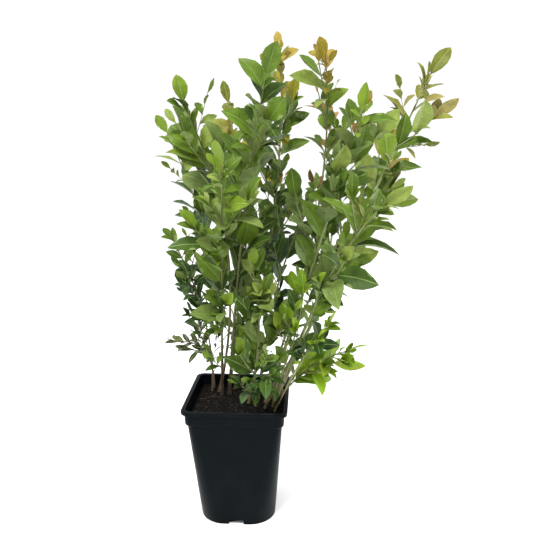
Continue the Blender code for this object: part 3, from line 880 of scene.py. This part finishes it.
class Pile:
    """Many small closed shapes gathered from arrays into one mesh."""

    def __init__(self):
        self.points, self.faces, self.slots, self.maps = [], [], [], []
        self.count = 0

    def add(self, points, faces, slots, maps=None):
        """Adds a shape: its points, its faces, a material number a face, and a map point a point."""
        self.points.append(points)
        self.faces += [[corner + self.count for corner in face] for face in faces]
        self.slots += slots
        self.maps.append(np.zeros((len(points), 2)) if maps is None else maps)
        self.count += len(points)

    def add_tube(self, line, widths, sides, slot, relief=None):
        """Adds a closed round tube. Relief gives the share that it swells at (ring, angles)."""
        forward = np.gradient(line, axis=0)
        forward /= np.linalg.norm(forward, axis=1)[:, None]
        side = np.cross(forward[0], ASKEW)
        angles = np.arange(sides) * math.tau / sides
        rings = []
        for number, (centre, ahead, width) in enumerate(zip(line, forward, widths)):
            side = side - ahead * side.dot(ahead)
            side /= np.linalg.norm(side)
            back = np.cross(ahead, side)
            swell = relief(number, angles) if relief else 1
            spread = np.cos(angles)[:, None] * side + np.sin(angles)[:, None] * back
            rings.append(centre + spread * np.reshape(width * swell, (-1, 1)))
        faces = loft_faces(len(line), sides)
        self.add(np.concatenate(rings), faces, [slot] * len(faces))

    def build(self, name, finishes):
        """Makes the piece, which rides on the plant's one body."""
        mesh = bpy.data.meshes.new(name)
        mesh.from_pydata(np.concatenate(self.points).tolist(), [], self.faces)
        mesh.polygons.foreach_set("material_index", self.slots)
        mesh.polygons.foreach_set("use_smooth", [True] * len(self.faces))
        mesh.set_sharp_from_angle(angle=MARGIN_ANGLE)
        corners = np.empty(len(mesh.loops), np.int32)
        mesh.loops.foreach_get("vertex_index", corners)
        layer = mesh.uv_layers.new(name="blade")
        layer.data.foreach_set("uv", np.concatenate(self.maps)[corners].ravel())
        for finish in finishes:
            mesh.materials.append(finish)
        mesh.update()
        piece = bpy.data.objects.new(name, mesh)
        bpy.context.scene.collection.objects.link(piece)
        return settle(piece)


def settle(piece):
    """The piece rides on the plant's one body; its finishes are already in its material slots."""
    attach(piece, "root")
    return piece


def smooth_line(points, radii, step):
    """The middle line through the points as one smooth curve, with a point every step."""
    knots = array(points)
    padded = np.concatenate([[2 * knots[0] - knots[1]], knots, [2 * knots[-1] - knots[-2]]])
    line, widths = [knots[0]], [radii[0]]
    for i in range(len(knots) - 1):
        a, b, c, d = padded[i:i + 4]
        pieces = max(1, round(float(np.linalg.norm(c - b)) / step))
        for piece in range(1, pieces + 1):
            t = piece / pieces
            line.append(0.5 * (2 * b + (c - a) * t + (2 * a - 5 * b + 4 * c - d) * t ** 2
                               + (3 * b - a - 3 * c + d) * t ** 3))
            widths.append(radii[i] + (radii[i + 1] - radii[i]) * t)
    return np.array(line), np.array(widths)


def run_along(line):
    """Distance along a line to each of its points."""
    return np.concatenate([[0], np.cumsum(np.linalg.norm(np.diff(line, axis=0), axis=1))])


def nodal(line, widths):
    """Widths with the slight swelling that a stem has at every leaf joint."""
    off = (run_along(line) + NODE_SPACING / 2) % NODE_SPACING - NODE_SPACING / 2
    return widths * (1 + NODE_SWELL * np.exp(-(off / NODE_HALF) ** 2))


def bark_relief(line, seed):
    """Long shallow ridges, a fine grain and old leaf scars, which take turns round the limb."""
    run = run_along(line)
    ridge, ridges_round, wander, wander_beat = RIDGES
    slant, slants_round, slant_beat = SLANTS
    grain, grain_beat = GRAIN

    def swell(ring, angles):
        distance = run[ring]
        ridges = ridge * np.sin(ridges_round * angles + wander * math.sin(distance * wander_beat + seed))
        ridges += slant * np.sin(slants_round * angles - distance * slant_beat + seed)
        scar = round(distance / NODE_SPACING)
        off = distance - scar * NODE_SPACING
        facing = np.cos(angles - scar * GOLDEN_ANGLE)
        bulge = np.clip(facing, 0, 1) ** 3 * SCARS * math.exp(-(off / NODE_HALF) ** 2)
        return 1 + ridges + bulge + grain * math.sin(distance * grain_beat + seed * 3)

    return swell


def blade_width(share):
    """Half width of the blade's outline at a share of its length, as a share of its widest."""
    blade_part = np.clip((share - BLADE_START) / (1 - BLADE_START), 0, 1)
    return np.sin(np.pi * blade_part ** BLADE_SKEW) ** BLADE_FULLNESS


def blade(leaf, stations, fine, slender, rng):
    """One closed leaf blade, from its stalk to its tip, folded, waved and slightly twisted.

    Its width is slender times the usual. A fine one has nine points round it, with a midrib above
    and a keel below. A plain one has four.
    """
    t = np.array(stations)[:, None]
    m = LEAF_MIDDLE
    root, middle, tip, side, face = array((leaf.root, leaf.middle, leaf.tip, leaf.side, leaf.face))
    centre = (root * (t - m) * (t - 1) / m + middle * t * (t - 1) / (m * (m - 1))
              + tip * t * (t - m) / (1 - m))
    centre = centre - face * (leaf.length * rng.uniform(*CURLS) * t ** CURL_POWER)
    widest = leaf.length * LEAF_WIDTH / 2
    fill = rng.uniform(*BLADE_FILLS) * slender
    half = np.maximum(widest * fill * blade_width(t), STALK_HALF * (1 - t))
    turn = rng.uniform(-TWIST, TWIST) * (t - TWIST_START)
    across = side * np.cos(turn) + face * np.sin(turn)
    above = face * np.cos(turn) - side * np.sin(turn)
    wave = leaf.length * rng.uniform(*WAVES)
    phases = rng.uniform(0, math.tau), rng.uniform(0, math.tau)
    beats = rng.uniform(*WAVE_BEATS)
    width = half / widest
    rise = leaf.length * LEAF_FOLD / 2 * rng.uniform(*FOLDS) * width
    rib = np.minimum(leaf.length * RIB_SHARE, half * RIB_LIMIT)
    skin = BLADE_THICKNESS / 2

    def row(place, flip, lift, edge=0.0):
        """One line of points along the blade, place out from the midrib and lift above it."""
        ripple = wave * np.sin(beats * math.tau * t + phases[flip > 0]) * edge * width
        return centre + across * place * flip + above * (lift + ripple)

    if fine:
        shoulder = half * SHOULDER
        crest = rise * SHOULDER_LIFT
        lines = [row(half, -1, rise, 1), row(shoulder, -1, crest + skin, SHOULDER_WAVE), row(rib, -1, skin),
                 row(rib, 1, skin), row(shoulder, 1, crest + skin, SHOULDER_WAVE), row(half, 1, rise, 1),
                 row(shoulder, 1, crest - skin, SHOULDER_WAVE), row(rib, 0, -skin - KEEL_DEPTH * width),
                 row(shoulder, -1, crest - skin, SHOULDER_WAVE)]
        spans = [0, 0.5 - SHOULDER / 2, 0.5 - RIB_SPAN, 0.5 + RIB_SPAN, 0.5 + SHOULDER / 2, 1,
                 0.5 + SHOULDER / 2, 0.5, 0.5 - SHOULDER / 2]
    else:
        lines = [row(half, -1, rise, 1), row(half, 0, skin), row(half, 1, rise, 1), row(half, 0, -skin)]
        spans = [0, 0.5, 1, 0.5]
    points = np.stack(lines, 1).reshape(-1, 3)
    maps = np.stack([np.tile(spans, len(stations)), np.repeat(stations, len(lines))], 1)
    return points, maps


def blade_faces(stations, fine, upper, under, rib):
    """Faces of a blade and their material numbers. A fine blade's stalk is rib all round."""
    if fine:
        kinds = [upper, upper, rib, upper, upper, under, under, under, under]
        stalk = [rib] * len(kinds)
    else:
        kinds = stalk = [upper, upper, under, under]
    slots = [rib, *stalk, *kinds * (len(stations) - 2), upper]
    return loft_faces(len(stations), len(kinds)), slots


def make_leaves(cane, finishes):
    """The spray's leaves, then its small ones, in the tones of its place on the bush, with painted shade:
    low leaves take the deeper shade more often, high ones the brighter.
    """
    rng = random.Random(cane.seed + BLADE_SEED)
    mature, young = finishes[cane.mature], finishes[cane.young]
    for name, leaves, stations, fine in (
            ("leaves", cane.leaves, BLADE_STATIONS, True),
            ("small_leaves", cane.small_leaves, SMALL_STATIONS, False)):
        if not leaves:
            continue
        pile = Pile()
        for leaf in leaves:
            first = len(mature) if leaf.young else 0
            # Painted shade and light by height: the lower the leaf, the more often it takes the deeper
            # shade.
            height = (leaf.root.z - LOW_LEAVES) / (HIGH_LEAVES - LOW_LEAVES)
            weights = blend(LOW_SHADED_WEIGHTS, HIGH_LIT_WEIGHTS, min(1, max(0, height)))
            shade = rng.choices((0, 1, 2), weights)[0]
            points, maps = blade(leaf, stations, fine, cane.slender, rng)
            pile.add(points, *blade_faces(stations, fine, first + shade, first + 3, first + 4), maps)
        piece = pile.build(cane.name + "_" + name, [*mature, *young])
        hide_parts(cane.name + "_spray")


def make_stems(cane, bark, green):
    """The bare limb with its bark, then the spray's stem, twigs, shoots and buds."""
    points, radii = cane.limb
    line, widths = smooth_line(points, radii, BARK_STEP)
    pile = Pile()
    pile.add_tube(line, widths * BARK_SHARE, LIMB_SIDES, 0, bark_relief(line, cane.seed % 7))
    limb = pile.build(cane.name + "_bark", [bark])
    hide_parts(cane.name)
    pile = Pile()
    limb_end, stem_start = points[-2], cane.lines[0][0][0]
    inner = stem_start + (limb_end - stem_start).normalized() * STEM_SUNK
    for number, (points, radii) in enumerate(cane.lines):
        if number == 0:
            points, radii = [inner] + points, [radii[0] * SUNK_SHARE] + radii
        line, widths = smooth_line(points, radii, TWIG_STEP)
        pile.add_tube(line, nodal(line, widths * BARK_SHARE), STEM_SIDES if number == 0 else TWIG_SIDES, 0)
        for _, share, _ in leaf_places(points, cane.leaf):
            add_bud(pile, points, share, share_radius(radii, share), number + share * BUD_TURN)
    for points, radii in cane.shoots:
        pile.add_tube(*smooth_line(points, radii, SHOOT_STEP), SHOOT_SIDES, 1)
    twigs = pile.build(cane.name + "_twigs", [bark, green])
    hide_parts(cane.name + "_spray")


def add_bud(pile, points, share, radius, phase):
    """A small pointed bud in a leaf's axil."""
    root, forward = along(points, share)
    away = outward(forward, phase * GOLDEN_ANGLE)
    heading = (forward * BUD_AHEAD + away * BUD_ASIDE).normalized()
    start = root + away * radius * BUD_OUT
    line = array(start + heading * BUD_LENGTH * share for share in BUD_STATIONS)
    pile.add_tube(line, BUD_RADIUS * np.array(BUD_WIDTHS), SHOOT_SIDES, 1)


# Pot


def rounded_square(half, corner, height):
    """Ring of points round a square with round corners."""
    ring = []
    for quarter in range(4):
        middle = Vector((half - corner, half - corner))
        for step in range(CORNER_STEPS + 1):
            angle = math.pi / 2 * step / CORNER_STEPS
            spot = middle + Vector((math.cos(angle), math.sin(angle))) * corner
            for _ in range(quarter):
                spot = Vector((-spot.y, spot.x))
            ring.append(Vector((spot.x, spot.y, height)))
    return ring


def body_half(height):
    """Half width of the pot's tapering body, outside, at a height."""
    share = height / (POT_HEIGHT - BAND_DEPTH)
    return (BASE_WIDTH + (BODY_WIDTH - BASE_WIDTH) * share) / 2


def body_corner(height):
    """Corner radius of the body, which is nearly round at its foot and nearly square at its top."""
    share = height / (POT_HEIGHT - BAND_DEPTH)
    return BASE_CORNER + (LIP_CORNER - BASE_CORNER) * share


def start_editing(name):
    """Names the piece that was just added and opens it in Edit Mode."""
    piece = bpy.context.object
    piece.name = name
    bpy.ops.object.mode_set(mode="EDIT")
    return piece


def stop_editing(piece, finish):
    """Turns the piece's faces outward, leaves Edit Mode and gives the piece its finish."""
    bpy.ops.mesh.select_all(action="SELECT")
    bpy.ops.mesh.normals_make_consistent(inside=False)
    bpy.ops.object.mode_set(mode="OBJECT")
    piece.data.materials.append(finish)


def move_selected(piece, place):
    """Moves each selected point of a piece in Edit Mode to where place puts it."""
    shape = bmesh.from_edit_mesh(piece.data)
    for vert in shape.verts:
        if vert.select:
            vert.co = place(vert.co)
    bmesh.update_edit_mesh(piece.data)


def apply_modifier(piece, kind, **settings):
    """Gives a piece a modifier and applies it."""
    modifier = piece.modifiers.new(kind.lower(), kind)
    for setting, value in settings.items():
        setattr(modifier, setting, value)
    bpy.context.view_layer.objects.active = piece
    bpy.ops.object.modifier_apply(modifier=modifier.name)


def make_pot(finish):
    """The moulded pot: foot ring, hub, raised floor, tapering body, band and lip, with rounded edges.

    It starts as a disc under the hub, whose rim is extruded ring by ring.
    """
    body_top = POT_HEIGHT - BAND_DEPTH
    shoulder = body_top + SHOULDER_RISE
    lip_under = POT_HEIGHT - LIP_DEPTH
    band = BAND_WIDTH / 2
    band_top = band + BAND_FLARE
    ring_half = BASE_WIDTH / 2 - FOOT_RING
    rings = [
        (HUB_HALF, HUB_HALF * HUB_ROUNDING, 0),
        (HUB_HALF, HUB_HALF * HUB_ROUNDING, FLOOR_UNDER),
        (ring_half, BASE_CORNER - FOOT_RING, FLOOR_UNDER),
        (ring_half, BASE_CORNER - FOOT_RING, 0),
        (BASE_WIDTH / 2, BASE_CORNER, 0),
        (body_half(body_top), LIP_CORNER, body_top),
        (band, LIP_CORNER, shoulder),
        (band_top, LIP_CORNER, lip_under),
        (LIP_WIDTH / 2, LIP_CORNER + LIP_ROUNDING, lip_under),
        (LIP_WIDTH / 2, LIP_CORNER + LIP_ROUNDING, POT_HEIGHT),
        (band_top - WALL, LIP_CORNER - WALL, POT_HEIGHT),
        (band - WALL, LIP_CORNER - WALL, shoulder + WALL),
        (body_half(body_top) - WALL, LIP_CORNER - WALL, body_top),
        (body_half(FLOOR_TOP) - WALL, body_corner(FLOOR_TOP) - WALL, FLOOR_TOP),
    ]
    bpy.ops.mesh.primitive_circle_add(vertices=4 * (CORNER_STEPS + 1), radius=1, fill_type="NGON")
    pot = start_editing("pot_shell")
    for number, ring in enumerate(rings):
        if number > 0:
            bpy.ops.mesh.extrude_region_move()
        spots = iter(rounded_square(*ring))
        move_selected(pot, lambda spot: next(spots))
    stop_editing(pot, finish)
    for side in range(4):
        cut_notch(pot, side)
    apply_modifier(pot, "BEVEL", width=EDGE_ROUND, segments=3, limit_method="ANGLE", angle_limit=EDGE_ANGLE)
    pot.data.shade_smooth()
    apply_modifier(pot, "WEIGHTED_NORMAL", keep_sharp=False, weight=80)
    settle(pot)
    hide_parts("pot")


def cut_notch(pot, side):
    """A drain notch through the foot ring, in the middle of one side."""
    angle = side * math.pi / 2
    out = BASE_WIDTH / 2
    bpy.ops.mesh.primitive_cube_add(size=1, location=(out * math.sin(angle), -out * math.cos(angle), 0),
                                    rotation=(0, 0, angle))
    cutter = bpy.context.object
    cutter.scale = (NOTCH_WIDTH, FOOT_RING * 4, NOTCH_HEIGHT * 2)
    apply_modifier(pot, "BOOLEAN", operation="DIFFERENCE", object=cutter)
    bpy.data.objects.remove(cutter, do_unlink=True)


# Compost


def on_square(flat, half, corner, share=1.0):
    """The point of a square with round corners that lies the way of flat, or a share of the way to it."""
    heading = flat.normalized()
    x, y = abs(heading.x), abs(heading.y)
    reach = half / max(x, y)
    inner = half - corner
    if min(x, y) * reach > inner:
        middle = Vector((inner, inner))
        beside = middle.dot(Vector((x, y)))
        reach = beside + math.sqrt(max(0.0, beside ** 2 - middle.length_squared + corner ** 2))
    return heading * reach * share


def surface_height(x, y):
    """Height of the compost, which has clods and small pits."""
    spot = Vector((x, y, 0))
    clods = noise.fractal(spot * CLOD_SCALE, *CLOD_DETAIL)
    pits = noise.noise(spot * PIT_SCALE)
    return SOIL_LEVEL - BED_DROP + BED_ROUGHNESS * (CLOD_SHARE * clods + PIT_SHARE * pits)


def make_compost(finish):
    """The compost bed: a crumbly top, and sides that follow the pot's wall down to its floor."""
    body_top = POT_HEIGHT - BAND_DEPTH
    inset = WALL + SOIL_CLEARANCE
    half = BAND_WIDTH / 2 - inset
    foot_half, foot_corner = body_half(SOIL_BOTTOM) - inset, body_corner(SOIL_BOTTOM) - inset
    bpy.ops.mesh.primitive_grid_add(x_subdivisions=BED_CELLS, y_subdivisions=BED_CELLS, size=2)
    for vert in bpy.context.object.data.vertices:
        flat = vert.co.xy
        if flat.length > 1e-6:
            flat = on_square(flat, half, LIP_CORNER - inset, max(abs(flat.x), abs(flat.y)))
        vert.co = (*flat, surface_height(*flat))
    bed = start_editing("compost_bed")
    bpy.ops.mesh.select_all(action="SELECT")
    bpy.ops.mesh.region_to_loop()
    for height, narrowing in (
            (body_top + SHOULDER_RISE + inset + SOIL_CLEARANCE, 1.0),
            (body_top, (body_half(body_top) - inset) / half),
            (SOIL_BOTTOM, foot_half / (body_half(body_top) - inset))):
        bpy.ops.mesh.extrude_region_move()
        bpy.ops.transform.resize(value=(narrowing, narrowing, 1), center_override=(0, 0, 0))
        move_selected(bed, lambda spot: (spot.x, spot.y, height))
    move_selected(bed, lambda spot: (*on_square(spot.xy, foot_half, foot_corner), spot.z))
    bpy.ops.mesh.edge_face_add()
    stop_editing(bed, finish)
    bed.data.shade_smooth()
    settle(bed)
    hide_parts("compost")


def lump(rng):
    """Points and faces of one small irregular lump, about 1 across."""
    shape = bmesh.new()
    bmesh.ops.create_icosphere(shape, subdivisions=1, radius=0.5)
    points = array(v.co for v in shape.verts)
    faces = [[v.index for v in face.verts] for face in shape.faces]
    shape.free()
    return points * np.array([[rng.uniform(*LUMPINESS)] for _ in points]), faces


def make_crumbs(peat, chip):
    """Peat crumbs and bark chips strewn on the compost, sunk partly in."""
    rng = random.Random(CRUMB_SEED)
    half = BAND_WIDTH / 2 - WALL - CRUMB_MARGIN
    pile = Pile()
    for number in range(CRUMBS + CHIPS):
        chunky = number >= CRUMBS
        size = rng.uniform(*(CHIP_SIZES if chunky else CRUMB_SIZES))
        shape, faces = lump(rng)
        stretch = (1, rng.uniform(*CHIP_WIDTHS), rng.uniform(*CHIP_DEPTHS)) if chunky else CRUMB_SHAPE
        turn = Matrix.Rotation(rng.uniform(0, math.tau), 3, "Z")
        turn = turn @ Matrix.Rotation(rng.gauss(0, CRUMB_TILT), 3, "X")
        x, y = rng.uniform(-half, half), rng.uniform(-half, half)
        base = np.array([x, y, surface_height(x, y) + size * CRUMB_RISE])
        shape = (shape * size * np.array(stretch)) @ np.array(turn).T + base
        pile.add(shape, faces, [int(chunky)] * len(faces))
    crumbs = pile.build("compost_crumbs", [peat, chip])
    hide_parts("compost")


# Stage


def make_stage():
    """A pale floor, a soft pale surround, two large soft lights and a tall one beside the pot."""
    bpy.ops.mesh.primitive_plane_add(size=FLOOR_SIZE)
    floor = bpy.context.object
    floor.name = "floor"
    finish = Finish("pale_floor", 0.0)
    colour = finish.mix(finish.noise(3, 2), (0.95, 0.95, 0.95), (0.97, 0.97, 0.97))
    floor.data.materials.append(finish.made(colour, 1.0))
    world = bpy.data.worlds.new("studio")
    world.use_nodes = True
    surround = world.node_tree.nodes["Background"]
    surround.inputs["Color"].default_value = (1, 1, 1, 1)
    surround.inputs["Strength"].default_value = SURROUND_POWER
    bpy.context.scene.world = world
    for name, place, width, height, power in LIGHTS:
        lamp = bpy.data.lights.new(name, "AREA")
        lamp.shape = "RECTANGLE"
        lamp.size = width
        lamp.size_y = height
        lamp.energy = power
        light = bpy.data.objects.new(name, lamp)
        light.location = place
        light.rotation_euler = (LIT_SPOT - Vector(place)).to_track_quat("-Z", "Y").to_euler()
        bpy.context.scene.collection.objects.link(light)


def make_camera():
    """The photograph's own view: a little above the pot, looking slightly down."""
    lens = bpy.data.cameras.new("camera")
    lens.sensor_width = SENSOR
    lens.lens = LENS
    lens.clip_start = 0.01
    camera = bpy.data.objects.new("camera", lens)
    turn = Matrix.Rotation(CAMERA_YAW, 3, "Z") @ Matrix.Rotation(math.pi / 2 - CAMERA_PITCH, 3, "X")
    camera.rotation_euler = (turn @ Matrix.Rotation(CAMERA_ROLL, 3, "Z")).to_euler()
    camera.location = CAMERA_PLACE
    bpy.context.scene.collection.objects.link(camera)
    bpy.context.scene.camera = camera
    bpy.context.scene.view_settings.view_transform = "Standard"


def main():
    make_camera()
    make_stage()
    make_pot(plastic_finish())
    make_compost(compost_finish())
    make_crumbs(crumb_finish("peat_crumb", (0.0018, 0.0014, 0.0012), (0.0080, 0.0055, 0.0040)),
                crumb_finish("bark_chip", (0.007, 0.0045, 0.0030), (0.042, 0.027, 0.018)))
    barks = {
        "brown": bark_finish("brown_bark", (0.056, 0.036, 0.019), (0.112, 0.130, 0.040), 0.17, 0.27),
        "straw": bark_finish("straw_bark", (0.145, 0.125, 0.060), (0.180, 0.220, 0.078), 0.15, 0.24),
    }
    green = bark_finish("shoot_bark", (0.150, 0.175, 0.050), (0.180, 0.210, 0.065), 0.2, 0.5)
    finishes = tone_finishes()
    grow_bush()
    for cane in CANES:
        make_stems(cane, barks[cane.bark], green)
        make_leaves(cane, finishes)


main()
